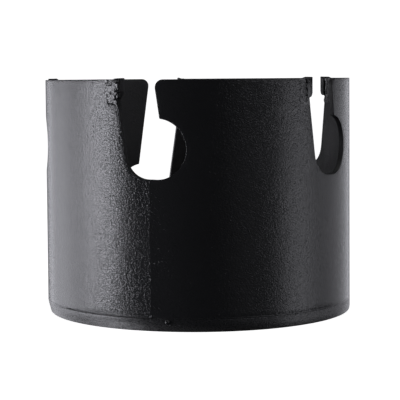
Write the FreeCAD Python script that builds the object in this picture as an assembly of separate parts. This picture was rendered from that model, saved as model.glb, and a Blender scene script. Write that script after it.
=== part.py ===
import FreeCAD, Part

import math
import os

from FreeCAD import Vector

os.makedirs("parts", exist_ok=True)

# A hole saw for cutting large round holes, standing on its base with its teeth up.
# Lengths are millimetres. The origin is the centre of the base's underside, and +Z points to the teeth.
# Angles round the cup are degrees from the front, which is -Y, towards +X.

# Cup wall
cup_radius = 40.9
wall_thickness = 1.3
rim_height = 62.0
seam_angle = -16.9          # where the rolled sheet's two ends are welded together
seam_flat_angle = 6.0       # the sheet's ends stay straight over this much, so the seam stands proud

# Gullets, cut through the wall from the rim down
first_tooth_angle = -29.7
tooth_count = 5
gullet_depth = 24.5
deep_gullet_depth = 40.0
deep_gullet_tooth = 4
slot_width = 10.3
slot_lean = 8.3             # degrees from upright
chip_hole_radius = 7.5
chip_hole_offset = 8.3      # from the cutting side of the slot to the middle of the round hole
chip_hole_drop = 0.05       # the round hole reaches this much lower than the slot's floor
gullet_corner_radius = 6.1
rim_corner_radius = 2.0

# Carbide tips
tip_thickness = 1.5
tip_height = 5.3
tip_rise = 0.4              # above the rim
tip_overhang_outside = 0.6
tip_overhang_inside = 0.5
tip_seat_depth = 0.25       # how far the tip is let into the slot's edge, at the rim
tip_relief_angle = 7.0
tip_nose_width = 0.7        # the bevel at the lower front corner
tip_nose_height = 0.95

# Braze behind and below each tip, spread over both faces of the wall
braze_outside_thickness = 0.28
braze_inside_thickness = 0.3
braze_width = 3.9           # along the wall, from the slot's corner
braze_below_tip = 2.0
braze_corner_radius = 2.2
braze_ridge_width = 1.3     # on the rim, where it slopes down behind the tip
braze_ridge_drop = 0.06     # from the back of the tip's top

# Base plate and its weld
plate_thickness = 3.4
plate_taper = 0.48          # the edge is turned in by this much at the bottom
plate_taper_offset = 0.3    # the taper is off centre by this much, so it is wider at the left
plate_taper_height = 2.7    # up the edge at the left
plate_edge_radius = 0.5
weld_groove_depth = 0.4
weld_sink = 0.12            # the weld lies this far below the surface
arbor_thread_diameter = 15.875
arbor_chamfer = 0.5
pin_hole_count = 4
pin_hole_diameter = 6.6
pin_circle_diameter = 25.4
pin_hole_chamfer = 0.4

inner_radius = cup_radius - wall_thickness
slot_slope = math.tan(math.radians(slot_lean))
slot_secant = math.sqrt(1 + slot_slope ** 2)
tooth_pitch = 360 / tooth_count
teeth = range(1, tooth_count + 1)
cut_margin = 2.0            # how far a cutting shape runs past what it cuts
axis = Vector(0, 0, 1)
front = Vector(0, -1, 0)


def turned(shape, angle):
    """A copy of a shape made at the front, turned to an angle round the cup."""
    copy = shape.copy()
    copy.rotate(Vector(0, 0, 0), axis, angle)
    return copy


def wall_angle(along):
    """The angle that a distance along the wall's outside spans."""
    return math.degrees(along / cup_radius)


class FrontSketch:
    """An outline drawn on the cup's front, from distances along the wall and depths below the rim."""

    def __init__(self, middle):
        self.middle = middle
        self.edges = []

    def point(self, place):
        along, depth = place
        sideways = cup_radius * math.tan((along - self.middle) / cup_radius)
        return Vector(sideways, 0, rim_height - depth)

    def line(self, start, end):
        self.edges.append(Part.LineSegment(self.point(start), self.point(end)).toShape())

    def arc(self, start, middle, end):
        self.edges.append(Part.Arc(self.point(start), self.point(middle), self.point(end)).toShape())

    def polygon(self, corners):
        for start, end in zip(corners, corners[1:] + corners[:1]):
            self.line(start, end)

    def block(self, near, far):
        """The outline as a solid that reaches from one distance from the axis to another."""
        face = Part.Face(Part.Wire(self.edges))
        solid = face.extrude(front * (far - near))
        solid.translate(front * near)
        return solid


def on_circle(centre, radius, angle):
    """A point on a circle in the developed wall, its angle counted from along the wall towards the base."""
    turn = math.radians(angle)
    return (centre[0] + radius * math.cos(turn), centre[1] + radius * math.sin(turn))


def tooth_angle(number):
    return first_tooth_angle + tooth_pitch * (number - 1)


def slot_block(depth, hole_centre):
    """The slanted slot with its rounded lower corner, open towards the round hole."""
    corner_depth = depth - gullet_corner_radius
    corner_centre = (slot_slope * corner_depth + gullet_corner_radius * slot_secant, corner_depth)
    cutting_side = 180 - slot_lean
    floor = 90

    slot_start = (-slot_slope * cut_margin, -cut_margin)
    corner_start = on_circle(corner_centre, gullet_corner_radius, cutting_side)
    corner_middle = on_circle(corner_centre, gullet_corner_radius, (cutting_side + floor) / 2)
    corner_end = on_circle(corner_centre, gullet_corner_radius, floor)
    floor_end = (hole_centre[0], depth)
    far_side_low = (slot_width + slot_slope * hole_centre[1], hole_centre[1])
    far_side_high = (slot_width - slot_slope * cut_margin, -cut_margin)

    sketch = FrontSketch(slot_width / 2)
    sketch.line(slot_start, corner_start)
    sketch.arc(corner_start, corner_middle, corner_end)
    sketch.line(corner_end, floor_end)
    sketch.line(floor_end, far_side_low)
    sketch.line(far_side_low, far_side_high)
    sketch.line(far_side_high, slot_start)
    return sketch.block(inner_radius - cut_margin, cup_radius + cut_margin)


def gullet_cutter(number):
    """The slot and the round chip hole at its foot, each cut square to the wall."""
    depth = deep_gullet_depth if number == deep_gullet_tooth else gullet_depth
    hole_depth = depth + chip_hole_drop - chip_hole_radius
    hole_centre = (slot_slope * hole_depth + chip_hole_offset, hole_depth)
    hole_start = Vector(0, cut_margin - inner_radius, rim_height - hole_depth)
    hole_length = wall_thickness + 2 * cut_margin
    hole = Part.makeCylinder(chip_hole_radius, hole_length, hole_start, front)
    slot = turned(slot_block(depth, hole_centre), tooth_angle(number) + wall_angle(slot_width / 2))
    return slot.fuse(turned(hole, tooth_angle(number) + wall_angle(hole_centre[0])))


def seamed_outline(radius, height):
    """A circle whose two ends run straight into a low peak at the seam."""
    start = seam_angle + seam_flat_angle
    end = seam_angle - seam_flat_angle + 360

    def at(angle, distance):
        turn = math.radians(angle)
        return Vector(distance * math.sin(turn), -distance * math.cos(turn), height)

    peak = at(seam_angle, radius / math.cos(math.radians(seam_flat_angle)))
    round_part = Part.Arc(at(start, radius), at((start + end) / 2, radius), at(end, radius))
    edges = [
        round_part.toShape(),
        Part.LineSegment(at(end, radius), peak).toShape(),
        Part.LineSegment(peak, at(start, radius)).toShape(),
    ]
    return Part.Wire(edges)


def seamed_cylinder(radius, bottom, top):
    return Part.Face(seamed_outline(radius, bottom)).extrude(axis * (top - bottom))


# Each tip stands upright in a notch in the slot's upper corner.
tip_bottom_depth = tip_height - tip_rise
tip_back = -tip_seat_depth
tip_front = tip_back + tip_thickness
tip_back_drop = tip_thickness * math.tan(math.radians(tip_relief_angle))
tip_near = inner_radius - tip_overhang_inside
tip_far = cup_radius + tip_overhang_outside


def make_notch(number):
    far_side = tip_front + cut_margin
    sketch = FrontSketch(tip_back)
    sketch.polygon([
        (tip_back, -cut_margin),
        (tip_back, tip_bottom_depth),
        (far_side, tip_bottom_depth),
        (far_side, -cut_margin),
    ])
    block = sketch.block(inner_radius - cut_margin, cup_radius + cut_margin)
    return turned(block, tooth_angle(number) + wall_angle(tip_back))


def make_tip(number):
    sketch = FrontSketch(tip_back)
    sketch.polygon([
        (tip_back, tip_bottom_depth),
        (tip_front - tip_nose_width, tip_bottom_depth),
        (tip_front, tip_bottom_depth - tip_nose_height),
        (tip_front, -tip_rise),
        (tip_back, tip_back_drop - tip_rise),
    ])
    return turned(sketch.block(tip_near, tip_far), tooth_angle(number) + wall_angle(tip_back))


def make_braze(number, tube, tip):
    """One spread of braze, from the wall's outside over the rim behind the tip to the inside."""
    low = tip_bottom_depth + braze_below_tip
    left = -braze_width
    centre = (left + braze_corner_radius, low - braze_corner_radius)
    sketch = FrontSketch(tip_back)
    corners = [
        on_circle(centre, braze_corner_radius, 90),
        (tip_front, low),
        (tip_front, tip_bottom_depth),
        (tip_back, tip_bottom_depth),
        (tip_back, tip_back_drop - tip_rise + braze_ridge_drop),
        (tip_back - braze_ridge_width, 0),
        (left, 0),
        on_circle(centre, braze_corner_radius, 180),
    ]
    for start, end in zip(corners, corners[1:]):
        sketch.line(start, end)
    sketch.arc(corners[-1], on_circle(centre, braze_corner_radius, 135), corners[0])
    block = sketch.block(inner_radius - cut_margin, cup_radius + cut_margin)
    block = turned(block, tooth_angle(number) + wall_angle(tip_back))
    height = low + 2 * cut_margin
    bottom = Vector(0, 0, rim_height - low - cut_margin)
    skin = Part.makeCylinder(cup_radius + braze_outside_thickness, height, bottom)
    skin = skin.cut(Part.makeCylinder(inner_radius - braze_inside_thickness, height, bottom))
    return block.common(skin).cut(gullet_cutter(number)).cut(tube).cut(tip)


def round_rim_corners(wall):
    """Round the wall's free corner where the far side of each slot meets the rim."""
    corner = FrontSketch(slot_width / 2).point((slot_width, 0)) + front * (inner_radius + cup_radius) / 2
    edges = []
    for number in teeth:
        spot = turned(Part.Vertex(corner), tooth_angle(number) + wall_angle(slot_width / 2)).Point
        edges.append(min(wall.Edges, key=lambda edge: edge.CenterOfMass.distanceToPoint(spot)))
    return wall.makeFillet(rim_corner_radius, edges)


def weld_groove():
    """The V-shaped groove round the joint of the tube and the plate."""
    reach = weld_groove_depth + cut_margin
    root = Vector(cup_radius - weld_groove_depth, 0, plate_thickness)
    corners = [root, root + Vector(reach, 0, reach), root + Vector(reach, 0, -reach), root]
    return Part.Face(Part.makePolygon(corners)).revolve(Vector(0, 0, 0), axis, 360)


def make_tube():
    outside = seamed_cylinder(cup_radius, plate_thickness, rim_height)
    wall = outside.cut(seamed_cylinder(inner_radius, plate_thickness, rim_height))
    for number in teeth:
        wall = wall.cut(gullet_cutter(number)).cut(make_notch(number))
    return round_rim_corners(wall).cut(weld_groove())


def make_weld(tube, plate):
    """The ring of weld that fills most of the groove."""
    bottom = axis * (plate_thickness - weld_groove_depth)
    bead = Part.makeCylinder(cup_radius - weld_sink, 2 * weld_groove_depth, bottom)
    return bead.common(weld_groove()).cut(tube).cut(plate)


def chamfered_hole(diameter, chamfer, place):
    """A cutting shape for a hole through the plate, with both mouths bevelled."""
    radius = diameter / 2
    hole = Part.makeCylinder(radius, plate_thickness, place)
    mouth = Part.makeCone(radius + chamfer, radius, chamfer, place)
    top = Part.makeCone(radius, radius + chamfer, chamfer, place + axis * (plate_thickness - chamfer))
    return hole.fuse(mouth).fuse(top)


def make_plate():
    """A thick disc whose edge is ground in towards the bottom, a little off centre."""
    disc = Part.makeCylinder(cup_radius, plate_thickness)
    small_radius = cup_radius - plate_taper
    spread = (plate_taper + plate_taper_offset) * plate_thickness / plate_taper_height
    taper = Part.makeCone(small_radius, small_radius + spread, plate_thickness)
    rims = [edge for edge in taper.Edges if edge.BoundBox.ZMax < plate_edge_radius]
    taper = taper.makeFillet(plate_edge_radius, rims)
    taper.translate(Vector(plate_taper_offset, 0, 0))
    plate = disc.common(taper).cut(weld_groove())
    plate = plate.cut(chamfered_hole(arbor_thread_diameter, arbor_chamfer, Vector(0, 0, 0)))
    for count in range(pin_hole_count):
        turn = 2 * math.pi * count / pin_hole_count
        place = Vector(math.cos(turn), math.sin(turn), 0) * (pin_circle_diameter / 2)
        plate = plate.cut(chamfered_hole(pin_hole_diameter, pin_hole_chamfer, place))
    return plate


parts = {"tube": make_tube(), "arbor_plate": make_plate()}
parts["plate_weld"] = make_weld(parts["tube"], parts["arbor_plate"])
for number in teeth:
    tip = make_tip(number)
    parts["carbide_tip_" + str(number)] = tip
    parts["braze_" + str(number)] = make_braze(number, parts["tube"], tip)

for name, shape in parts.items():
    print(name, shape.ShapeType, len(shape.Solids), shape.isValid(), round(shape.Volume, 2))
    shape.exportStep("parts/" + name + ".step")
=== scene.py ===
import math
import random

import bmesh
import bpy
import numpy as np
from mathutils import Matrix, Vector, geometry, noise


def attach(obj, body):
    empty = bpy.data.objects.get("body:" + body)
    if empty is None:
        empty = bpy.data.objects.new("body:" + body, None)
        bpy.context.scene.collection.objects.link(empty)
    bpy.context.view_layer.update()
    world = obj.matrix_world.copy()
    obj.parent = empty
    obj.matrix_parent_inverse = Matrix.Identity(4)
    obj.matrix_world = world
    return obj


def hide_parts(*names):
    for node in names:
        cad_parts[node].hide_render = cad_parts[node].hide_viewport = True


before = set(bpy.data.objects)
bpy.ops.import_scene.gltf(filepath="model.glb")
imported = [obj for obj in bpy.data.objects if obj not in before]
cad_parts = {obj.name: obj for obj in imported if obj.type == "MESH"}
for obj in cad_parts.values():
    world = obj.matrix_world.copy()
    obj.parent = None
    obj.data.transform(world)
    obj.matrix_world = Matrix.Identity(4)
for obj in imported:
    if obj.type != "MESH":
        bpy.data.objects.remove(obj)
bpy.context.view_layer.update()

mm = 0.001

# Lengths below are millimetres, unless a line says otherwise. Angles round the cup are degrees from the
# front, which is -Y, towards +X. A place on the wall is (along, height), along its outside from the front.

cup = {
    "radius": 40.9,
    "wall": 1.3,
    "rimHeight": 62.0,
    "baseHeight": 3.4,       # the wall stands on the base plate here
    "seamAngle": -16.9,
    "seamFlat": 4.0,         # the sheet's ends stay straight this far each side of the seam
    "seamClear": 0.05,       # the outline's next point is at least this far from the seam
    "edgeRound": 0.15,       # how round the coat leaves the cut edges
    "edgeSteps": 4,
    "mitreLimit": 0.5,       # keeps the inset short at a sharp corner
    "arcStep": 0.6,
    "cornerStep": 0.3,
    "gridStep": 1.25,
    "gridStart": 0.9,        # the lowest grid row, in steps over the foot
    "clearOfEdge": 0.8,      # no grid point comes nearer to a cut edge than this
    "baseGroove": 0.2,       # depth and height of the weld's groove, in the wall and in the plate
    "lipHeight": 0.06,       # the groove's lip is rounded this far up and down
    "lipStart": 0.02,        # how deep it is in the middle of the lip
    "lipMiddle": 0.07,       # and under it
    "footChamfer": 0.1,
}

gullet = {
    "firstAngle": -29.7,     # where the first tooth's slot begins at the rim
    "count": 5,
    "pitch": 72.0,
    "depth": 24.5,
    "deepDepth": 40.0,
    "deepTooth": 4,
    "width": 10.3,
    "lean": 8.3,             # degrees from upright
    "holeRadius": 7.5,
    "holeOffset": 8.3,       # from the slot's near side to the middle of the chip hole
    "holeDrop": 0.05,        # how far the chip hole reaches below the slot's floor
    "cornerRadius": 6.1,
    "rimCorner": 2.0,
    "smallCorner": 0.3,
    "notchBack": -0.25,      # the tip's notch starts this far along from the slot
    "notchDepth": 4.9,
    "notchCorner": 0.12,
}

meshing = {
    "mergeWithin": 0.0005,   # points nearer than this become one
    "shortest": 0.0002,      # no edge is shorter
    "fillPrecision": 0.00001,
    "seamPrecision": 0.0001,  # radians
}

lap = 2 * math.pi * cup["radius"]
innerRadius = cup["radius"] - cup["wall"]
seamAt = math.radians(cup["seamAngle"]) * cup["radius"]
slope = math.tan(math.radians(gullet["lean"]))


def toothAt(number):
    return math.radians(gullet["firstAngle"] + gullet["pitch"] * (number - 1)) * cup["radius"]


def seamGrowth(along):
    # the wall runs straight into a low peak at the weld seam
    off = abs((along - seamAt + lap / 2) % lap - lap / 2) / cup["radius"]
    flat = math.radians(cup["seamFlat"])
    return 1 / math.cos(flat - off) if off < flat else 1.0


def isOnSeam(spot):
    off = math.atan2(spot.x, -spot.y) - math.radians(cup["seamAngle"])
    return abs(off) < meshing["seamPrecision"] and math.hypot(spot.x, spot.y) > cup["radius"]


def onWall(along, radius, height):
    angle = along / cup["radius"]
    return Vector((radius * math.sin(angle), -radius * math.cos(angle), height))


def addLoops(bm, loops, closed=False):
    # joins rows of points, all of one length, into a skin of quads
    rows = [[bm.verts.new(p) for p in loop] for loop in loops]
    count = len(rows[0])
    for a, b in zip(rows, rows[1:]):
        for i in range(count if closed else count - 1):
            j = (i + 1) % count
            bm.faces.new((a[i], a[j], b[j], b[i]))
    return rows


def makePiece(name, bm, material, standsFor, sharpAbove=None, sharpAt=None):
    bmesh.ops.remove_doubles(bm, verts=bm.verts, dist=meshing["mergeWithin"])
    bmesh.ops.dissolve_degenerate(bm, edges=bm.edges, dist=meshing["shortest"])
    bmesh.ops.recalc_face_normals(bm, faces=bm.faces)
    openEdges = sum(1 for e in bm.edges if len(e.link_faces) != 2)
    for face in bm.faces:
        face.smooth = True
    for edge in bm.edges:
        edge.smooth = not (sharpAt and all(sharpAt(v.co) for v in edge.verts))
    bmesh.ops.scale(bm, vec=(mm, mm, mm), verts=bm.verts)
    mesh = bpy.data.meshes.new(name)
    bm.to_mesh(mesh)
    bm.free()
    if sharpAbove:
        mesh.set_sharp_from_angle(angle=math.radians(sharpAbove))
    mesh.materials.append(material)
    piece = bpy.data.objects.new(name, mesh)
    bpy.context.scene.collection.objects.link(piece)
    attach(piece, "root")
    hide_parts(*standsFor)
    print("made", name, len(mesh.polygons), "faces,", openEdges, "open edges")


# materials


def makeGroup(name, inputs, outputs):
    tree = bpy.data.node_groups.new(name, "ShaderNodeTree")
    for label, kind, value in inputs:
        socket = tree.interface.new_socket(name=label, in_out="INPUT", socket_type=kind)
        socket.default_value = value
    for label, kind in outputs:
        tree.interface.new_socket(name=label, in_out="OUTPUT", socket_type=kind)
    return tree, tree.nodes.new("NodeGroupInput"), tree.nodes.new("NodeGroupOutput")


def maths(tree, operation, first, second=None, third=None, clamp=False):
    node = tree.nodes.new("ShaderNodeMath")
    node.operation = operation
    node.use_clamp = clamp
    for socket, value in zip(node.inputs, (first, second, third)):
        if value is None:
            continue
        if isinstance(value, (int, float)):
            socket.default_value = value
        else:
            tree.links.new(value, socket)
    return node.outputs[0]


# how the powder coat lies: scales are counts a metre, and the rest are shares unless a line says otherwise
coatForm = {
    "flatten": 1.6,          # the wrinkles are this much wider than tall
    "fineDetail": 1.0,
    "fineRoughness": 0.55,
    "fineDistortion": 0.6,
    "waveScale": 170.0,
    "waveDetail": 2.0,
    "nibScale": 620.0,
    "nibSharpness": 7.0,
    "nibFrom": 0.72,         # only spots above this share have a nib
    "dustScale": 60.0,
    "dustDetail": 4.0,
    "insideDepth": 0.3,      # millimetres below the outer face
    "insideGain": 4.0,       # how fast the inside's painted light and duller gloss come in, a millimetre
    "insideStart": 1.2,
    "grainLow": 0.3,         # the grain's range that the roughness follows
    "grainHigh": 0.7,
}


def makeGrainGroup():
    # the fine wrinkle of powder coat, with soft waves under it and a few hard nibs on it
    tree, inside, outside = makeGroup("coatGrain", [
        ("Grain Size", "NodeSocketFloat", 0.5),      # millimetres
        ("Grain Depth", "NodeSocketFloat", 1.0),
        ("Wave Depth", "NodeSocketFloat", 1.0),
        ("Nib Depth", "NodeSocketFloat", 1.0),
        # millimetres from the axis, and within it lie the duller gloss and the painted light of the inside
        ("Painted Light And Gloss Radius", "NodeSocketFloat", cup["radius"] - coatForm["insideDepth"]),
    ], [("Height", "NodeSocketFloat"), ("Grain", "NodeSocketFloat"), ("Dust", "NodeSocketFloat"),
        ("Inside", "NodeSocketFloat")])
    squash = tree.nodes.new("ShaderNodeVectorMath")
    squash.operation = "MULTIPLY"
    squash.inputs[1].default_value = (1.0, 1.0, coatForm["flatten"])
    tree.links.new(tree.nodes.new("ShaderNodeTexCoord").outputs["Object"], squash.inputs[0])
    place = squash.outputs["Vector"]
    perMetre = maths(tree, "DIVIDE", 1000.0, inside.outputs["Grain Size"])

    fine = tree.nodes.new("ShaderNodeTexNoise")
    fine.inputs["Detail"].default_value = coatForm["fineDetail"]
    fine.inputs["Roughness"].default_value = coatForm["fineRoughness"]
    fine.inputs["Distortion"].default_value = coatForm["fineDistortion"]
    tree.links.new(place, fine.inputs["Vector"])
    tree.links.new(perMetre, fine.inputs["Scale"])
    grain = maths(tree, "MULTIPLY", fine.outputs["Fac"], inside.outputs["Grain Depth"])

    waves = tree.nodes.new("ShaderNodeTexNoise")
    waves.inputs["Scale"].default_value = coatForm["waveScale"]
    waves.inputs["Detail"].default_value = coatForm["waveDetail"]
    tree.links.new(place, waves.inputs["Vector"])
    swell = maths(tree, "MULTIPLY", waves.outputs["Fac"], inside.outputs["Wave Depth"])

    nibs = tree.nodes.new("ShaderNodeTexVoronoi")
    nibs.inputs["Scale"].default_value = coatForm["nibScale"]
    tree.links.new(place, nibs.inputs["Vector"])
    fromDot = maths(tree, "MULTIPLY", nibs.outputs["Distance"], coatForm["nibSharpness"])
    dot = maths(tree, "SUBTRACT", 1.0, fromDot, clamp=True)
    rare = tree.nodes.new("ShaderNodeSeparateColor")
    tree.links.new(nibs.outputs["Color"], rare.inputs[0])
    chosen = maths(tree, "GREATER_THAN", rare.outputs[0], coatForm["nibFrom"])
    nib = maths(tree, "MULTIPLY", maths(tree, "MULTIPLY", dot, chosen), inside.outputs["Nib Depth"])

    total = maths(tree, "ADD", maths(tree, "ADD", grain, swell), nib)
    dust = tree.nodes.new("ShaderNodeTexNoise")
    dust.inputs["Scale"].default_value = coatForm["dustScale"]
    dust.inputs["Detail"].default_value = coatForm["dustDetail"]
    tree.links.new(place, dust.inputs["Vector"])

    # how far inside the radius of the painted light and duller gloss, in millimetres
    flat = tree.nodes.new("ShaderNodeVectorMath")
    flat.operation = "MULTIPLY"
    flat.inputs[1].default_value = (1000.0, 1000.0, 0.0)
    tree.links.new(place, flat.inputs[0])
    fromAxis = tree.nodes.new("ShaderNodeVectorMath")
    fromAxis.operation = "LENGTH"
    tree.links.new(flat.outputs["Vector"], fromAxis.inputs[0])
    deeper = maths(tree, "SUBTRACT", inside.outputs["Painted Light And Gloss Radius"], fromAxis.outputs["Value"])
    gain, start = coatForm["insideGain"], coatForm["insideStart"]
    paintedLightAndGloss = maths(tree, "MULTIPLY_ADD", deeper, gain, start, clamp=True)
    tree.links.new(paintedLightAndGloss, outside.inputs["Inside"])
    tree.links.new(total, outside.inputs["Height"])
    tree.links.new(fine.outputs["Fac"], outside.inputs["Grain"])
    tree.links.new(dust.outputs["Fac"], outside.inputs["Dust"])
    return tree


grainGroup = makeGrainGroup()


def makeCoat(name, look):
    material = bpy.data.materials.new(name)
    material.use_nodes = True
    tree = material.node_tree
    shader = tree.nodes["Principled BSDF"]
    grain = tree.nodes.new("ShaderNodeGroup")
    grain.node_tree = grainGroup
    grain.inputs["Grain Size"].default_value = look["grainSize"]      # millimetres
    grain.inputs["Grain Depth"].default_value = look["grainDepth"]
    grain.inputs["Wave Depth"].default_value = look["waveDepth"]
    grain.inputs["Nib Depth"].default_value = look["nibDepth"]

    colour = tree.nodes.new("ShaderNodeMix")
    colour.data_type = "RGBA"
    colour.inputs["A"].default_value = (*look["dark"], 1)
    colour.inputs["B"].default_value = (*look["pale"], 1)
    tree.links.new(grain.outputs["Dust"], colour.inputs["Factor"])
    # painted light: the paler colour inside the cup stands in for the light that falls in there
    paintedInsideLight = tree.nodes.new("ShaderNodeMix")
    paintedInsideLight.data_type = "RGBA"
    paintedInsideLight.inputs["B"].default_value = (*look["inside"], 1)
    tree.links.new(grain.outputs["Inside"], paintedInsideLight.inputs["Factor"])
    tree.links.new(colour.outputs["Result"], paintedInsideLight.inputs["A"])
    tree.links.new(paintedInsideLight.outputs["Result"], shader.inputs["Base Color"])

    rough = tree.nodes.new("ShaderNodeMapRange")
    rough.inputs["From Min"].default_value = coatForm["grainLow"]
    rough.inputs["From Max"].default_value = coatForm["grainHigh"]
    rough.inputs["To Min"].default_value = look["roughness"] - look["roughSpread"]
    rough.inputs["To Max"].default_value = look["roughness"] + look["roughSpread"]
    tree.links.new(grain.outputs["Grain"], rough.inputs["Value"])
    outer = rough.outputs["Result"]
    duller = maths(tree, "MULTIPLY_ADD", grain.outputs["Inside"], look["insideDuller"], outer)
    tree.links.new(duller, shader.inputs["Roughness"])

    bump = tree.nodes.new("ShaderNodeBump")
    bump.inputs["Strength"].default_value = look["bump"]
    bump.inputs["Distance"].default_value = look["bumpDistance"] * mm
    tree.links.new(grain.outputs["Height"], bump.inputs["Height"])
    tree.links.new(bump.outputs["Normal"], shader.inputs["Normal"])
    shader.inputs["IOR"].default_value = look["ior"]
    shader.inputs["Metallic"].default_value = 0.0
    return material


wallLook = {
    "dark": (0.0178, 0.0182, 0.0192),
    "pale": (0.0208, 0.0213, 0.0225),
    # painted light: paler inside the cup, for the light that falls into it
    "inside": (0.028, 0.028, 0.0285),
    "insideDuller": 0.35,    # added to the roughness inside the cup
    "roughness": 0.125,
    "roughSpread": 0.03,
    "ior": 1.5,
    "grainSize": 0.45,
    "grainDepth": 1.0,
    "waveDepth": 0.6,
    "nibDepth": 1.0,
    "bump": 1.0,
    "bumpDistance": 0.1,
}
plateLook = dict(wallLook, roughness=0.28, insideDuller=0.0, waveDepth=0.8)
tipLook = dict(
    wallLook,
    dark=(0.009, 0.0092, 0.010),
    pale=(0.014, 0.0144, 0.0155),
    grainDepth=0.6,
    nibDepth=0.3,
)
brazeLook = dict(
    wallLook,
    pale=(0.032, 0.0325, 0.0335),
    insideDuller=0.06,
    roughness=0.2,
    ior=1.6,
    grainSize=0.4,
    grainDepth=0.7,
    waveDepth=1.5,
    nibDepth=0.6,
    bumpDistance=0.09,
)

wallCoat = makeCoat("wallCoat", wallLook)
plateCoat = makeCoat("plateCoat", plateLook)
tipCoat = makeCoat("tipCoat", tipLook)
brazeCoat = makeCoat("brazeCoat", brazeLook)
print("materials done")


# cup wall


def arcPoints(centre, radius, start, end):
    # angles count from along the wall towards the base
    count = max(2, round(abs(math.radians(end - start)) * radius / cup["arcStep"]))
    turns = [math.radians(start + (end - start) * i / count) for i in range(count + 1)]
    return [(centre[0] + radius * math.cos(t), centre[1] + radius * math.sin(t)) for t in turns]


def roundCorner(before, corner, after, radius):
    one = Vector(before) - Vector(corner)
    two = Vector(after) - Vector(corner)
    one.normalize()
    two.normalize()
    half = one.angle(two) / 2
    middle = Vector(corner) + (one + two).normalized() * (radius / math.sin(half))
    reach = radius / math.tan(half)
    start = Vector(corner) + one * reach - middle
    end = Vector(corner) + two * reach - middle
    count = max(3, round(radius * (math.pi - 2 * half) / cup["cornerStep"]))
    return [tuple(middle + start.slerp(end, i / count) * radius) for i in range(count + 1)]


def gulletPath(depth):
    # each point: (from the tooth along the wall, depth below the rim), corner radius, the cutter's middle
    slotMiddle = gullet["width"] / 2
    cornerDepth = depth - gullet["cornerRadius"]
    corner = (slope * cornerDepth + gullet["cornerRadius"] * math.hypot(1, slope), cornerDepth)
    holeDepth = depth + gullet["holeDrop"] - gullet["holeRadius"]
    hole = (slope * holeDepth + gullet["holeOffset"], holeDepth)
    back, low = gullet["notchBack"], gullet["notchDepth"]

    # where the hole's top meets the slot's far side
    gap = gullet["width"] - hole[0]
    a = slope ** 2 + 1
    b = 2 * (gap * slope - holeDepth)
    c = gap ** 2 + holeDepth ** 2 - gullet["holeRadius"] ** 2
    meet = (-b - math.sqrt(b * b - 4 * a * c)) / (2 * a)
    meetAlong = gullet["width"] + slope * meet
    meetAngle = math.degrees(math.atan2(meet - holeDepth, meetAlong - hole[0]))
    share = 1 - gullet["holeDrop"] / gullet["holeRadius"]
    floorAngle = math.degrees(math.acos(-math.sqrt(1 - share ** 2)))

    small = gullet["smallCorner"]
    path = [((back, 0.0), small, slotMiddle)]
    path.append(((back, low), gullet["notchCorner"], slotMiddle))
    path.append(((slope * low, low), small, slotMiddle))
    path += [(p, 0, slotMiddle) for p in arcPoints(corner, gullet["cornerRadius"], 180 - gullet["lean"], 90)]
    path += [(p, 0, hole[0]) for p in arcPoints(hole, gullet["holeRadius"], floorAngle, meetAngle)]
    path[-1] = (path[-1][0], small, (hole[0] + slotMiddle) / 2)
    path.append(((gullet["width"], 0.0), gullet["rimCorner"], slotMiddle))
    return path


def wallOutline():
    # the wall's upper edge from the seam, round all the gullets and back to the seam
    corners = []
    for number in range(1, gullet["count"] + 1):
        depth = gullet["deepDepth"] if number == gullet["deepTooth"] else gullet["depth"]
        tooth = toothAt(number)
        for (along, down), radius, middle in gulletPath(depth):
            corners.append((tooth + along, cup["rimHeight"] - down, radius, tooth + middle))
    corners += [(x + lap, z, r, m + lap) for x, z, r, m in corners]
    rounded = []
    for before, (x, z, radius, middle), after in zip(corners, corners[1:], corners[2:]):
        if radius:
            points = roundCorner(before[:2], (x, z), after[:2], radius)
            rounded += [(p[0], p[1], middle) for p in points]
        else:
            rounded.append((x, z, middle))
    # short, even steps
    outline = []
    for a, b in zip(rounded, rounded[1:]):
        count = max(1, math.ceil(math.dist(a[:2], b[:2]) / cup["gridStep"]))
        for i in range(count):
            t = i / count
            outline.append(tuple(p + (q - p) * t for p, q in zip(a, b)))
    # start and end on the seam, which crosses the first gullet's floor
    floorHeight = cup["rimHeight"] - gullet["depth"]

    def firstPast(along):
        return next(i for i, p in enumerate(outline) if p[0] > along and p[1] < floorHeight + 2)

    start = firstPast(seamAt + cup["seamClear"])
    end = firstPast(seamAt + lap - cup["seamClear"])
    middle = toothAt(1) + gullet["width"] / 2
    first = (seamAt, floorHeight, middle)
    last = (seamAt + lap, floorHeight, middle + lap)
    return [first] + outline[start:end] + [last]


def insetNormals(outline):
    # the direction into the wall at each point, made longer at a corner so that the inset keeps its width
    normals = []
    for i in range(len(outline)):
        sides = []
        for a, b in ((i - 1, i), (i, i + 1)):
            if a < 0 or b >= len(outline):
                continue
            run = Vector((outline[b][0] - outline[a][0], outline[b][1] - outline[a][1])).normalized()
            sides.append(Vector((run.y, -run.x)))
        if len(sides) == 1:
            normals.append(Vector((0, -1)))
            continue
        total = (sides[0] + sides[1]).normalized()
        normals.append(total / max(cup["mitreLimit"], total.dot(sides[0])))
    return normals


def isInside(points, ring):
    # counts how often a line from each point crosses the ring
    found = np.zeros(len(points), bool)
    for p, q in zip(ring, np.roll(ring, -1, axis=0)):
        if q[1] != p[1]:
            level = (p[1] > points[:, 1]) != (q[1] > points[:, 1])
            cross = p[0] + (points[:, 1] - p[1]) * (q[0] - p[0]) / (q[1] - p[1])
            found ^= level & (points[:, 0] < cross)
    return found


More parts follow.
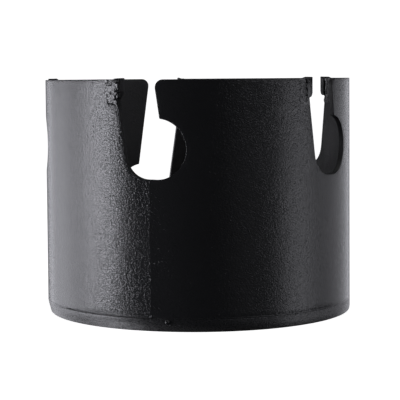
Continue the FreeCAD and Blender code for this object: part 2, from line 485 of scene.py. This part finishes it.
def makeCupWall():
    outline = wallOutline()
    normals = insetNormals(outline)
    radius, edge, steps = cup["radius"], cup["edgeRound"], cup["edgeSteps"]

    def place(i, inset, rho):
        x, z, middle = outline[i]
        x += normals[i].x * inset
        z += normals[i].y * inset
        x += (x - middle) * (radius / rho - 1)       # the cutter went straight in, not towards the axis
        return onWall(x, rho * seamGrowth(x), z)

    turns = [math.pi / 2 * k / steps for k in range(steps + 1)]
    profile = [(edge * (1 - math.sin(t)), radius - edge * (1 - math.cos(t))) for t in turns]
    profile += [(inset, innerRadius + radius - rho) for inset, rho in reversed(profile)]
    bm = bmesh.new()
    addLoops(bm, [[place(i, inset, rho) for i in range(len(outline))] for inset, rho in profile])

    # the wall's foot, from the outside through the weld's groove to the inside
    groove, lip, chamfer = cup["baseGroove"], cup["lipHeight"], cup["footChamfer"]
    baseRows = [
        (groove + lip, radius),
        (groove, radius - cup["lipStart"]),
        (groove - lip, radius - cup["lipMiddle"]),
        (0.0, radius - groove),
        (0.0, innerRadius + chamfer),
        (chamfer, innerRadius),
        (groove + lip, innerRadius),
    ]
    count = round(lap / cup["gridStep"])
    alongs = [seamAt + lap * (1 - i / count) for i in range(count + 1)]
    foot = cup["baseHeight"]
    addLoops(bm, [[onWall(x, rho * seamGrowth(x), foot + up) for x in alongs] for up, rho in baseRows])

    # the flat pattern inside the insets, filled with even triangles and wrapped at both radii
    top = [(x + n.x * edge, z + n.y * edge) for (x, z, m), n in zip(outline, normals)]
    low = cup["baseHeight"] + baseRows[0][0]
    base = [(x, low) for x in alongs]
    rise = round((top[-1][1] - low) / cup["gridStep"])
    heights = [low + (top[-1][1] - low) * i / rise for i in range(1, rise)]
    right = [(seamAt + lap, z) for z in reversed(heights)]
    left = [(seamAt, z) for z in heights]
    loop = top + right + base + left
    ring = np.array(loop)
    xs = seamAt + np.arange(1, count) * lap / count
    zs = np.arange(low + cup["gridStep"] * cup["gridStart"], cup["rimHeight"], cup["gridStep"])
    grid = np.array([(x, z) for x in xs for z in zs])
    nearest = np.full(len(grid), np.inf)
    for p, q in zip(ring, np.roll(ring, -1, axis=0)):
        run = q - p
        t = np.clip(((grid - p) @ run) / (run @ run), 0, 1)
        nearest = np.minimum(nearest, np.hypot(*(grid - p - t[:, None] * run).T))
    clear = grid[isInside(grid, ring) & (nearest > cup["clearOfEdge"])]
    points = [Vector(p) for p in loop] + [Vector(p) for p in clear]
    edges = [(i, (i + 1) % len(loop)) for i in range(len(loop))]
    filled = geometry.delaunay_2d_cdt(points, edges, [], 0, meshing["fillPrecision"], True)
    spots, faces, origins = filled[0], filled[2], filled[3]
    middles = np.array([np.mean([spots[i] for i in face], axis=0) for face in faces])
    faces = [face for face, kept in zip(faces, isInside(middles, ring)) if kept]
    for rho in (radius, innerRadius):
        verts = []
        for spot, origin in zip(spots, origins):
            if origin and origin[0] < len(outline):
                verts.append(bm.verts.new(place(origin[0], edge, rho)))
            else:
                verts.append(bm.verts.new(onWall(spot.x, rho * seamGrowth(spot.x), spot.y)))
        for face in faces:
            bm.faces.new([verts[i] for i in face])
    makePiece("cupWall", bm, wallCoat, ["tube"], sharpAt=isOnSeam)


makeCupWall()
print("cup wall done")


# base plate

plate = {
    "thickness": cup["baseHeight"],
    "taper": 0.48,           # how far the lower edge lies in, on average
    "taperOffset": 0.3,      # the taper's middle lies this far to the right
    "taperHeight": 2.7,
    "edgeRound": 0.3,
    "edgeSteps": 5,
    "sideHeights": (1.0, 1.6, 2.2),
    "threadRadius": 7.9375,  # a 5/8-18 arbor thread
    "threadPitch": 1.4111,
    "threadDepth": 0.78,
    "threadChamfer": 0.5,
    "threadGain": 2.5,       # steepness of the thread's flanks, in depths over a pitch
    "threadFlat": 0.125,     # what the flats at crest and root take away
    "threadPoints": 96,
    "threadRows": 48,
    "pinRadius": 3.3,
    "pinCircle": 12.7,       # its radius
    "pinCount": 4,
    "pinChamfer": 0.4,
    "pinPoints": 64,
    "segments": 720,
    "gridStep": 2.0,
    "clearOfRim": 2.1,
    "clearOfHole": 0.7,
    "sharpAbove": 38,        # degrees between two faces from where their edge stays sharp
}


def plateSide(angle, height):
    # the disc's edge, cut by a cone that stands a little off centre
    rise = (plate["taper"] + plate["taperOffset"]) / plate["taperHeight"]
    cone = cup["radius"] - plate["taper"] + rise * height
    off = plate["taperOffset"]
    reach = off * math.sin(angle) + math.sqrt(cone ** 2 - (off * math.cos(angle)) ** 2)
    return min(cup["radius"], reach)


def ringPoints(radius, height, count, centre=(0.0, 0.0)):
    points = []
    for i in range(count):
        turn = 2 * math.pi * i / count
        x = centre[0] + radius * math.cos(turn)
        y = centre[1] + radius * math.sin(turn)
        points.append(Vector((x, y, height)))
    return points


def threadRadiusAt(angle, height):
    turn = (height / plate["threadPitch"] - angle / (2 * math.pi)) % 1.0
    cut = min(1.0, max(0.0, plate["threadGain"] * (0.5 - abs(turn - 0.5)) - plate["threadFlat"]))
    radius = plate["threadRadius"] - plate["threadDepth"] * (1 - cut)
    mouth = plate["threadRadius"] + plate["threadChamfer"] - min(height, plate["thickness"] - height)
    return max(radius, mouth)


def threadRow(height):
    row = []
    for i in range(plate["threadPoints"]):
        angle = 2 * math.pi * i / plate["threadPoints"]
        radius = threadRadiusAt(angle, height)
        row.append(Vector((radius * math.cos(angle), radius * math.sin(angle), height)))
    return row


def makeBasePlate():
    bm = bmesh.new()
    top, segments, edge = plate["thickness"], plate["segments"], plate["edgeRound"]
    angles = [2 * math.pi * i / segments for i in range(segments)]

    def sideRow(inset, height, cut=0.0):
        row = []
        for angle in angles:
            rho = plateSide(angle, max(height, edge)) - inset - cut
            row.append(Vector((rho * math.sin(angle), -rho * math.cos(angle), height)))
        return row

    rows = []
    for k in range(plate["edgeSteps"] + 1):
        turn = math.pi / 2 * k / plate["edgeSteps"]
        rows.append(sideRow(edge * (1 - math.sin(turn)), edge * (1 - math.cos(turn))))
    groove, lip = cup["baseGroove"], cup["lipHeight"]
    for height in (*plate["sideHeights"], top - groove - lip):
        rows.append(sideRow(0, height))
    rows.append(sideRow(0, top - groove, cup["lipStart"]))
    rows.append(sideRow(0, top - groove + lip, cup["lipMiddle"]))
    rows.append(sideRow(0, top, groove))
    addLoops(bm, rows, closed=True)

    levels = [top * i / plate["threadRows"] for i in range(plate["threadRows"] + 1)]
    addLoops(bm, [threadRow(height) for height in levels], closed=True)

    pins = []
    pinPoints = plate["pinPoints"]
    narrow, chamfer = plate["pinRadius"], plate["pinChamfer"]
    wide = narrow + chamfer
    for n in range(plate["pinCount"]):
        turn = 2 * math.pi * n / plate["pinCount"]
        centre = (plate["pinCircle"] * math.cos(turn), plate["pinCircle"] * math.sin(turn))
        shape = [(wide, 0), (narrow, chamfer), (narrow, top - chamfer), (wide, top)]
        addLoops(bm, [ringPoints(r, z, pinPoints, centre) for r, z in shape], closed=True)
        pins.append((wide, centre))

    # both faces, filled between the edge, the thread's mouth and the pin holes
    mouth = plate["threadRadius"] + plate["threadChamfer"]
    clearance, step = plate["clearOfHole"], plate["gridStep"]
    gridHalf = step * math.floor(cup["radius"] / step)
    reach = np.arange(-gridHalf, gridHalf + step / 2, step)
    for height, outer in ((0.0, rows[0]), (top, rows[-1])):
        loops = [[p.to_2d() for p in outer]]
        loops.append([p.to_2d() for p in ringPoints(mouth, 0, plate["threadPoints"])])
        loops += [[p.to_2d() for p in ringPoints(w, 0, pinPoints, c)] for w, c in pins]
        points, edges = [], []
        for loop in loops:
            first = len(points)
            points += loop
            edges += [(first + i, first + (i + 1) % len(loop)) for i in range(len(loop))]
        for x in reach:
            for y in reach:
                far = math.hypot(x, y)
                clear = all(math.dist((x, y), c) > w + clearance for w, c in pins)
                if mouth + clearance < far < cup["radius"] - plate["clearOfRim"] and clear:
                    points.append(Vector((x, y)))
        filled = geometry.delaunay_2d_cdt(points, edges, [], 1, meshing["fillPrecision"], True)
        spots, faces = filled[0], filled[2]
        verts = [bm.verts.new((s.x, s.y, height)) for s in spots]
        holes = [(mouth, (0.0, 0.0))] + pins
        for face in faces:
            middle = sum((spots[i] for i in face), Vector((0, 0))) / len(face)
            if all(math.dist(middle, c) > w for w, c in holes):
                bm.faces.new([verts[i] for i in face])
    loose = [v for v in bm.verts if not v.link_faces]
    bmesh.ops.delete(bm, geom=loose, context="VERTS")
    sharpAbove = plate["sharpAbove"]
    makePiece("basePlate", bm, plateCoat, ["arbor_plate"], sharpAbove=sharpAbove)


makeBasePlate()
print("base plate done")


# weld ring between wall and plate

weld = {
    "height": 0.27,          # half its width up and down the groove
    "sinkLeft": 0.16,
    "sinkRight": -0.004,
    "shownFrom": (-64, -54),  # degrees over which the open groove begins, and ends
    "shownTo": (-17, -6),
    "ripple": 0.02,
    "rippleScale": 20,
    "waver": 0.12,           # how much its width changes
    "root": 0.25,            # how far its back lies behind the groove's bottom
    "segments": 1080,
    "pitAngle": -54.6,
    "pitWidth": 0.7,
    "pitDepth": 0.2,
    "dropSink": 0.05,        # how deep the middle of a drop lies in the wall
}

# drops of weld metal that stuck to the outside: angle, height, half width, half height and how far
# they stand out
spatter = [
    (-11.1, 2.5, 0.62, 0.7, 0.62),
    (-15.3, 5.8, 0.17, 0.2, 0.3),
    (-14.2, 5.2, 0.15, 0.15, 0.24),
    (-13.4, 5.6, 0.12, 0.14, 0.2),
    (-10.0, 1.7, 0.2, 0.16, 0.25),
]


def smooth(value, low, high):
    t = min(1.0, max(0.0, (value - low) / (high - low)))
    return t * t * (3 - 2 * t)


def weldSink(angle):
    # the groove shows at the front left and is filled nearly flush elsewhere
    degrees = (math.degrees(angle) + 180) % 360 - 180
    shown = smooth(degrees, *weld["shownFrom"]) * (1 - smooth(degrees, *weld["shownTo"]))
    pit = weld["pitDepth"] * math.exp(-((degrees - weld["pitAngle"]) / weld["pitWidth"]) ** 2)
    return weld["sinkRight"] + (weld["sinkLeft"] - weld["sinkRight"]) * shown + pit


# the upper half of the weld's section: share of its depth, share of its half height
weldHalf = [(1.0, 0.4), (0.9, 0.8), (0.55, 1.0), (0.0, 0.75)]
weldShape = [(across, -up) for across, up in reversed(weldHalf)] + weldHalf


def addDrop(bm, degrees, height, wide, tall, out):
    made = bmesh.ops.create_icosphere(bm, subdivisions=3, radius=1.0)
    turn = math.radians(degrees)
    middle = onWall(turn * cup["radius"], cup["radius"] - weld["dropSink"], height)
    for v in made["verts"]:
        side, depth, up = v.co.x * wide, v.co.y * out, v.co.z * tall
        x = side * math.cos(turn) - depth * math.sin(turn)
        y = side * math.sin(turn) + depth * math.cos(turn)
        v.co = middle + Vector((x, y, up))


def makeWeld():
    bm = bmesh.new()
    rows = []
    for i in range(weld["segments"]):
        angle = 2 * math.pi * i / weld["segments"]
        spot = Vector((math.sin(angle), -math.cos(angle), 0)) * weld["rippleScale"]
        ripple = weld["ripple"] * (noise.noise(spot) + 0.6 * noise.noise(spot * 3.1))
        face = cup["radius"] - weldSink(angle) + ripple
        back = cup["radius"] - cup["baseGroove"] - weld["root"]
        half = weld["height"] * (1 + weld["waver"] * noise.noise(spot * 1.7 + Vector((5, 0, 0))))
        ring = []
        for across, up in weldShape:
            rho = back + (face - back) * across
            height = cup["baseHeight"] + half * up
            ring.append(Vector((rho * math.sin(angle), -rho * math.cos(angle), height)))
        rows.append(ring)
    rows.append(rows[0])
    addLoops(bm, rows, closed=True)
    for drop in spatter:
        addDrop(bm, *drop)
    makePiece("weldRing", bm, wallCoat, ["plate_weld"])


makeWeld()
print("weld done")


# carbide tips

tip = {
    "thickness": 1.45,
    "height": 5.3,
    "rise": 0.4,             # how far it stands over the rim
    "outside": 0.6,
    "inside": 0.9,
    "relief": 13.0,          # degrees that its top falls towards the back
    "sideFall": 0.05,        # the top falls this much towards the outside
    "noseWidth": 1.1,
    "noseHeight": 1.15,
    "noseKnee": 0.3,         # share of the nose where its slope changes
    "seated": 0.35,          # how far its back lies in the wall
    "seatedFall": 0.25,      # how much lower its top is there
    "edgeRound": 0.12,
    "edgeSteps": 3,
    "sharpAbove": 40,
}

# each tip was set by hand, so some sit a little off or differ in shape
ownTip = {
    1: {
        "shift": 0.2,
        "relief": 4.0,
        "noseWidth": 1.35,
        "noseHeight": 1.9,
        "noseKnee": 0.42,
        "sideFall": 0.03,
    },
    2: {"shift": 0.28, "outside": 0.36},
    3: {"shift": 0.25},
    4: {"shift": 0.25, "relief": 17.0},
    5: {"shift": 0.3, "outside": 0.75, "inside": 0.5},
}


def makeTip(number):
    facts = dict(tip, **ownTip[number])
    start = toothAt(number) + gullet["notchBack"] + facts["shift"]
    angle = start / cup["radius"]
    sideways = Vector((math.cos(angle), math.sin(angle), 0))
    front, seated = facts["thickness"], facts["seated"]
    low = facts["height"] - facts["rise"]
    fall = facts["thickness"] * math.tan(math.radians(facts["relief"])) - facts["rise"]
    wide, tall, knee = facts["noseWidth"], facts["noseHeight"], facts["noseKnee"]
    ends = (
        (innerRadius - facts["inside"], 0.0),
        (cup["radius"] + facts["outside"], facts["sideFall"]),
    )
    bm = bmesh.new()
    rings = []
    for rho, lower in ends:
        # from the tip's back along the wall, and down from the rim
        outline = [
            (-seated, low),
            (front - wide, low),
            (front - knee * wide, low - knee * tall),
            (front, low - tall),
            (front, lower - facts["rise"]),
            (0.0, lower + fall),
            (-seated, lower + fall + facts["seatedFall"]),
        ]
        ring = []
        for along, down in outline:
            spot = onWall(start, rho, cup["rimHeight"] - down) + sideways * along
            ring.append(bm.verts.new(spot))
        rings.append(ring)
    for i in range(len(outline)):
        j = (i + 1) % len(outline)
        bm.faces.new((rings[0][i], rings[0][j], rings[1][j], rings[1][i]))
    bm.faces.new(rings[0])
    bm.faces.new(rings[1])
    bmesh.ops.recalc_face_normals(bm, faces=bm.faces)
    bmesh.ops.bevel(
        bm,
        geom=bm.edges[:],
        offset=facts["edgeRound"],
        segments=facts["edgeSteps"],
        profile=0.5,
        affect="EDGES",
    )
    name = "carbide_tip_" + str(number)
    makePiece("tip" + str(number), bm, tipCoat, [name], sharpAbove=facts["sharpAbove"])


for number in range(1, gullet["count"] + 1):
    makeTip(number)
print("tips done")


# braze round each tip

braze = {
    "width": 3.8,
    "below": 2.0,
    "thick": 0.13,
    "inside": 0.2,
    "fillet": 0.3,           # how high the braze climbs the tip's back
    "overTip": 0.0,          # how far it runs over the tip's outer face
    "lump": 0.07,
    "bead": 0.08,
    "pits": 26,
    "pitDepth": 0.2,
    "pitSize": (0.11, 0.24),
    "pitTall": (0.7, 1.5),   # height beside the size
    "pitDeep": (0.5, 1.1),   # depth beside pitDepth
    "ridge": 0.1,
    "insideLump": 0.14,
    "insideFillet": 0.25,    # over the thickness inside
    "root": 0.25,            # how far its hidden back lies in the wall
    "sunk": 0.03,            # how far its thin borders lie under the coat
    "columns": 56,
    "outsideRows": 76,
    "rimRows": 10,
    "insideRows": 40,

    # how the metal flowed: shares, and places along the wall from the tooth or down from the rim
    "lumpScales": (1.1, 2.4, 5.0),
    "lumpShares": (1.0, 0.6, 0.4),
    "filletAlong": (-1.3, -0.2),
    "filletDown": (4.4, 5.4),
    "footAlong": (-2.2, -3.6),
    "footRise": 0.3,
    "footRound": 0.4,
    "footRoundFrom": 0.55,
    "beadUp": 0.6,           # the bead's middle over the foot
    "beadHalf": 0.36,
    "beadAlong": (-3.3, -2.2),
    "borderFade": 0.6,
    "footFade": 0.3,
    "cutFade": (-0.05, 0.35),
    "tipFadeFrom": 0.8,
    "tipFade": (0.0, 0.16),
    "tipFoot": 5,
    "rimThinFrom": 0.45,
    "rimThin": (0.1, 0.7),
    "rimThinAlong": -0.4,
    "wander": 0.35,          # how far the left border wanders
    "wanderScale": 1.3,
    "clearOfCut": 0.02,
    "underTip": 0.7,
    "rimShare": 0.5,         # thickness over the rim beside that outside
    "rimLift": 0.01,
    "ridgeBefore": (0.8, 0.1),
}

ownBraze = {
    1: {"overTip": 1.3, "fillet": 0.66, "bead": 0.2, "pits": 44, "lump": 0.09},
    2: {"thick": 0.07, "width": 3.4, "pits": 30, "fillet": 0.33, "bead": 0.0},
    3: {"lump": 0.12, "inside": 0.22},
    4: {"inside": 0.28},
    5: {},
}


def placePits(number, facts):
    # small gas holes, most of them along the border and beside the tip
    chance = random.Random(number * 17)
    pits = []
    for n in range(facts["pits"]):
        kind = n % 4
        down = chance.uniform(0.35, gullet["notchDepth"] + 0.6)
        if kind == 0:
            along = -facts["width"] + chance.uniform(0.15, 0.55)
        elif kind == 1:
            along = chance.uniform(-facts["width"] * 0.75, -0.6)
            down = chance.uniform(0.3, 1.3)
        elif kind == 2:
            along = chance.uniform(-0.9, max(-0.35, facts["overTip"] - 0.45))
        else:
            along = chance.uniform(-facts["width"] * 0.9, -0.4)
        size = chance.uniform(*facts["pitSize"])
        tall = size * chance.uniform(*facts["pitTall"])
        deep = facts["pitDepth"] * chance.uniform(*facts["pitDeep"])
        pits.append((along, down, size, tall, deep))
    return pits


def brazeThickness(facts, pits, seed, along, down, leftEdge, rightEdge, low):
    spot = Vector((along, down, 0)) + seed
    lumps = sum(b * noise.noise(spot * a) for a, b in zip(facts["lumpScales"], facts["lumpShares"]))
    thick = facts["thick"] + facts["lump"] * lumps
    climb = smooth(along, *facts["filletAlong"]) * (1 - smooth(down, *facts["filletDown"]))
    thick += (facts["fillet"] - facts["thick"]) * climb

    # a bead, broken by the noise, runs along the foot
    foot = low - facts["footRise"] * smooth(along, *facts["footAlong"])
    bead = math.exp(-((foot - down - facts["beadUp"]) / facts["beadHalf"]) ** 2)
    bead *= max(0.2, 0.8 + 1.6 * noise.noise(spot * 1.9))
    thick += facts["bead"] * bead * smooth(along, *facts["beadAlong"])
    for a, d, wide, tall, deep in pits:
        far = ((along - a) / wide) ** 2 + ((down - d) / tall) ** 2
        if far < 6:
            thick -= deep * math.exp(-far)

    # it thins out towards its borders
    atBorder = smooth(along, leftEdge, leftEdge + facts["borderFade"])
    ends = min(atBorder, smooth(low - down, 0.0, facts["footFade"]))
    if down > gullet["notchDepth"]:
        ends = min(ends, smooth(rightEdge - along, *facts["cutFade"]))
    if facts["overTip"] and down < facts["tipFoot"]:
        least = facts["tipFadeFrom"]
        ends = min(ends, least + (1 - least) * smooth(rightEdge - along, *facts["tipFade"]))
        if along > facts["rimThinAlong"]:
            least = facts["rimThinFrom"]
            ends = min(ends, least + (1 - least) * smooth(down, *facts["rimThin"]))
    return thick * ends - facts["sunk"]


def sheetPath(facts, low):
    # one sheet runs up the outside, over the rim and down the inside
    outside, rim, inside = facts["outsideRows"], facts["rimRows"], facts["insideRows"]
    path = [(low * (1 - i / outside), "out") for i in range(outside + 1)]
    path += [(i / rim, "rim") for i in range(1, rim)]
    path += [(low * i / inside, "in") for i in range(inside + 1)]
    return path


def borderOf(rows):
    return [rows[0], [r[-1] for r in rows], list(reversed(rows[-1])), [r[0] for r in reversed(rows)]]


def makeBraze(number):
    facts = dict(braze, **ownBraze[number])
    seed = Vector((number * 7.3, number * 3.1, number * 5.7))
    pits = placePits(number, facts)
    low = gullet["notchDepth"] + facts["below"]
    tooth = toothAt(number)
    tipBack = gullet["notchBack"] + ownTip[number]["shift"]
    tipFoot = gullet["notchDepth"]
    root = facts["root"]
    half = cup["wall"] / 2
    thin = facts["inside"]
    inner = dict(
        facts,
        thick=thin,
        overTip=0.0,
        fillet=thin + facts["insideFillet"],
        lump=facts["insideLump"],
    )
    rows, backs = [], []
    for where, side in sheetPath(facts, low):
        down = where if side != "rim" else 0.0
        cut = slope * down - facts["clearOfCut"]
        onTip = tipBack + (facts["overTip"] if side != "in" else 0.0)
        rightEdge = onTip + (cut - onTip) * smooth(down, tipFoot - facts["underTip"], tipFoot)
        corner = smooth(down / low, facts["footRoundFrom"], 1.0)
        leftEdge = -facts["width"] * (1 - facts["footRound"] * corner ** 2)
        leftEdge += facts["wander"] * noise.noise(Vector((down * facts["wanderScale"], 0, 0)) + seed)
        row, backRow = [], []
        for i in range(facts["columns"] + 1):
            along = leftEdge + (rightEdge - leftEdge) * i / facts["columns"]
            grow = seamGrowth(tooth + along)
            if side == "out":
                thick = brazeThickness(facts, pits, seed, along, down, leftEdge, rightEdge, low)
                rho, height = cup["radius"] + thick, cup["rimHeight"] - down
                backRho, backHeight = cup["radius"] - root, cup["rimHeight"] - max(down, root)
            elif side == "in":
                thick = brazeThickness(inner, [], seed * 2, along, down, leftEdge, rightEdge, low)
                rho, height = innerRadius - thick, cup["rimHeight"] - down
                backRho, backHeight = innerRadius + root, cup["rimHeight"] - max(down, root)
            else:
                turn = math.pi * where
                atBorder = smooth(along, leftEdge, leftEdge + facts["borderFade"])
                thick = facts["rimShare"] * facts["thick"] * atBorder - facts["sunk"]
                before, after = facts["ridgeBefore"]
                ridge = facts["ridge"] * smooth(along, tipBack - before, tipBack - after)
                rho = innerRadius + half + (half + thick) * math.cos(turn)
                height = cup["rimHeight"] + (facts["rimLift"] + ridge) * math.sin(turn)
                backRho = innerRadius + half + (half - root) * math.cos(turn)
                backHeight = cup["rimHeight"] - root
            row.append(onWall(tooth + along, rho * grow, height))
            backRow.append(onWall(tooth + along, backRho * grow, backHeight))
        rows.append(row)
        backs.append(backRow)
    bm = bmesh.new()
    front = addLoops(bm, rows)
    rear = addLoops(bm, backs)
    for a, b in zip(borderOf(front), borderOf(rear)):
        for i in range(len(a) - 1):
            bm.faces.new((a[i], a[i + 1], b[i + 1], b[i]))
    name = "braze_" + str(number)
    makePiece("brazeSpread" + str(number), bm, brazeCoat, [name])


for number in range(1, gullet["count"] + 1):
    makeBraze(number)
print("braze done")


# floor, camera and light

studio = {
    "floorHalf": 1.6,        # metres, as the next four
    "floorSide": 2.4,
    "backAt": 1.2,
    "backRise": 1.5,
    "bend": 0.5,
    "bendSteps": 16,
    "white": 0.9,
    "glow": 0.95,            # the paper's own light, so that it is white in the picture
    "lampColour": (0.93, 0.93, 1.0),
    "surround": 0.004,       # brightness of the dark room round the cup
}


def makeFloor():
    bm = bmesh.new()
    half, back, bend = studio["floorHalf"], studio["backAt"], studio["bend"]
    side = [(-half, 0.0)]
    for i in range(studio["bendSteps"] + 1):
        turn = math.pi / 2 * i / studio["bendSteps"]
        side.append((back - bend + bend * math.sin(turn), bend - bend * math.cos(turn)))
    side.append((back, studio["backRise"]))
    addLoops(bm, [[Vector((x, y, z)) for x in (-studio["floorSide"], studio["floorSide"])] for y, z in side])
    mesh = bpy.data.meshes.new("floor")
    bm.to_mesh(mesh)
    bm.free()
    mesh.shade_smooth()
    floor = bpy.data.objects.new("floor", mesh)
    bpy.context.scene.collection.objects.link(floor)
    material = bpy.data.materials.new("paper")
    material.use_nodes = True
    shader = material.node_tree.nodes["Principled BSDF"]
    shader.inputs["Base Color"].default_value = (studio["white"],) * 3 + (1,)
    shader.inputs["Roughness"].default_value = 1.0
    shader.inputs["Specular IOR Level"].default_value = 0.0
    shader.inputs["Emission Color"].default_value = (1, 1, 1, 1)
    shader.inputs["Emission Strength"].default_value = studio["glow"]
    mesh.materials.append(material)
    floor.visible_diffuse = False
    floor.visible_glossy = False
    floor.visible_shadow = False


makeFloor()

cameraFacts = {
    "distance": 391.88,      # in front of the cup's axis
    "height": 62.525,
    "lens": 130.16,
    "pitch": 0.06086,        # radians
    "roll": 0.00764,
    "shiftX": 0.0065,
    "shiftY": -0.0875,
}
cameraData = bpy.data.cameras.new("camera")
cameraData.sensor_width = 36.0
cameraData.lens = cameraFacts["lens"]
cameraData.shift_x = cameraFacts["shiftX"]
cameraData.shift_y = cameraFacts["shiftY"]
cameraData.clip_start = 0.01
cameraData.clip_end = 20
camera = bpy.data.objects.new("camera", cameraData)
camera.location = (0, -cameraFacts["distance"] * mm, cameraFacts["height"] * mm)
camera.rotation_euler = (math.pi / 2 - cameraFacts["pitch"], cameraFacts["roll"], 0)
bpy.context.scene.collection.objects.link(camera)
bpy.context.scene.camera = camera

# the soft boxes round the cup: first and last angle in degrees, distance, bottom and top in metres,
# brightness beside white paper
lights = {
    "leftKeyFront": (-70, -61, 0.7, -0.08, 0.13, 12.6),
    "leftKey": (-90, -70, 0.7, -0.11, 0.14, 8.3),
    "leftSide": (-126, -90, 0.7, -0.3, 0.14, 2.6),
    "leftBack": (-157, -126, 0.7, -0.33, 0.1, 1.35),
    "rightBack": (142, 162, 0.7, -0.33, 0.1, 0.95),
    "rightMiddle": (90, 142, 0.7, -0.2, 0.1, 0.6),
    "rightSide": (65, 90, 0.7, -0.28, 0.12, 1.68),
    "rightFront": (24, 66, 0.7, -0.33, 0.28, 0.12),
    "rightHigh": (34, 80, 0.7, 0.32, 0.62, 1.7),
    "leftLow": (-95, -61, 0.7, -0.72, -0.38, 7.4),
}


def makeLight(name, first, last, distance, low, high, brightness):
    width = 2 * distance * math.tan(math.radians(last - first) / 2)
    data = bpy.data.lights.new(name, "AREA")
    data.shape = "RECTANGLE"
    data.size = width
    data.size_y = high - low
    data.energy = brightness * math.pi * width * (high - low)
    data.color = studio["lampColour"]
    light = bpy.data.objects.new(name, data)
    turn = math.radians(first + last) / 2
    light.location = (distance * math.sin(turn), -distance * math.cos(turn), (low + high) / 2)
    light.rotation_euler = (math.pi / 2, 0, turn)
    bpy.context.scene.collection.objects.link(light)


for name, facts in lights.items():
    makeLight(name, *facts)

overhead = {
    "height": 1.1,           # metres
    "width": 0.9,
    "brightness": 0.7,
}
topData = bpy.data.lights.new("overhead", "AREA")
topData.shape = "SQUARE"
topData.size = overhead["width"]
topData.energy = overhead["brightness"] * math.pi * overhead["width"] ** 2
topLight = bpy.data.objects.new("overhead", topData)
topLight.location = (0, 0, overhead["height"])
bpy.context.scene.collection.objects.link(topLight)

world = bpy.data.worlds.new("studio")
world.use_nodes = True
background = world.node_tree.nodes["Background"]
background.inputs["Color"].default_value = (1, 1, 1, 1)
background.inputs["Strength"].default_value = studio["surround"]
bpy.context.scene.world = world
bpy.context.scene.view_settings.view_transform = "Standard"
bpy.context.scene.view_settings.look = "None"
print("studio done")
